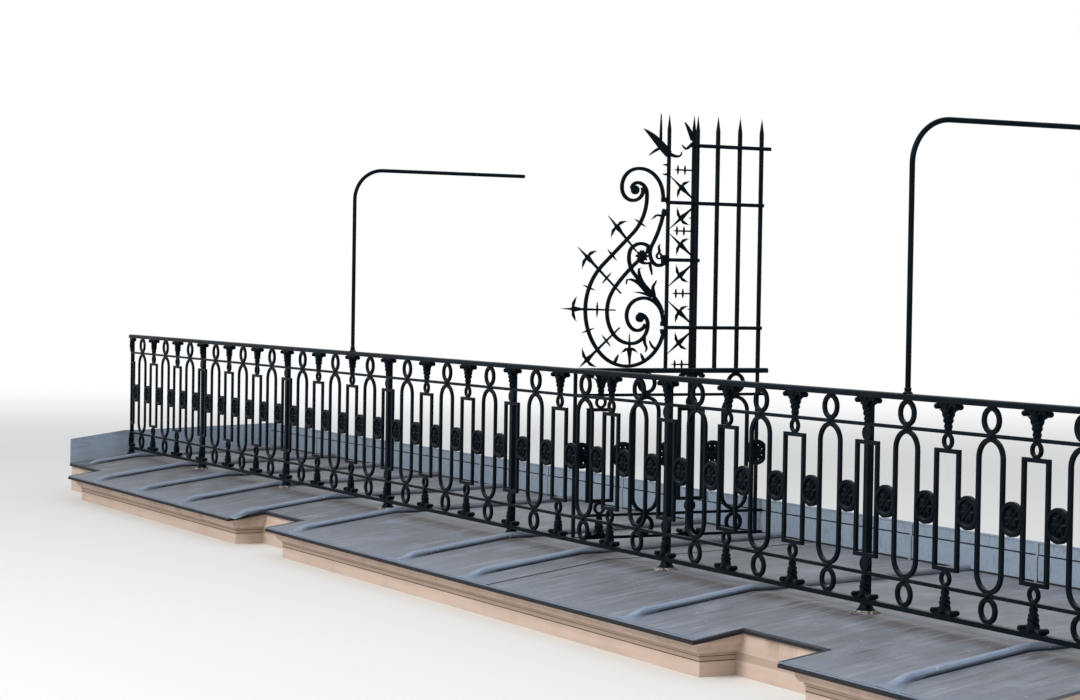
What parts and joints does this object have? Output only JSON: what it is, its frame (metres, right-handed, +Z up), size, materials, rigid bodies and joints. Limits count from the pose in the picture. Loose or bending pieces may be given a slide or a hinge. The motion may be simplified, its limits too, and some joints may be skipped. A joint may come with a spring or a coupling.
{
  "type": "wrought iron balcony",
  "caption": "Long iron balcony railing of cast figures on a zinc covered stone terrace, with a spiked scrollwork divider grille and two tall hoops.",
  "frame": {"origin": "middle of the underside of the part's bounding box", "axes": "+X along the house front to the right as seen from the street, +Y towards the house wall, +Z up"},
  "size_m": [12.396, 2.027, 2.72],
  "materials": {
    "ironwork": "old satin black paint",
    "zinc": "weathered matt zinc",
    "stone": "matt cream painted stone"
  },
  "bodies": {
    "root": {"floor_slab": "stone", "cornice_left": "stone", "cornice_middle": "stone", "cornice_right": "stone", "zinc_floor": "zinc", "batten_rolls": "zinc", "wall_flashing": "zinc", "end_flashing": "zinc", "handrail": "ironwork", "upper_rail": "ironwork", "lower_rail": "ironwork", "bottom_rail": "ironwork", "wall_half_post": "ironwork", "post_1": "ironwork", "post_2": "ironwork", "post_3": "ironwork", "post_4": "ironwork", "post_5": "ironwork", "post_6": "ironwork", "post_7": "ironwork", "panel_1": "ironwork", "panel_2": "ironwork", "panel_3": "ironwork", "panel_4": "ironwork", "panel_5": "ironwork", "panel_6": "ironwork", "panel_7": "ironwork", "divider_end_bar": "ironwork", "divider_top_bar": "ironwork", "divider_rails": "ironwork", "divider_figures": "ironwork", "divider_twin_post": "ironwork", "grille_front_bar": "ironwork", "grille_bars": "ironwork", "grille_crossbars": "ironwork", "scroll_outer": "ironwork", "scroll_inner": "ironwork", "scroll_rose": "ironwork", "scroll_spikes": "ironwork", "thistle_braces": "ironwork", "fan_spikes": "ironwork", "hoop_left": "ironwork", "hoop_right": "ironwork"}
  },
  "joints": []
}
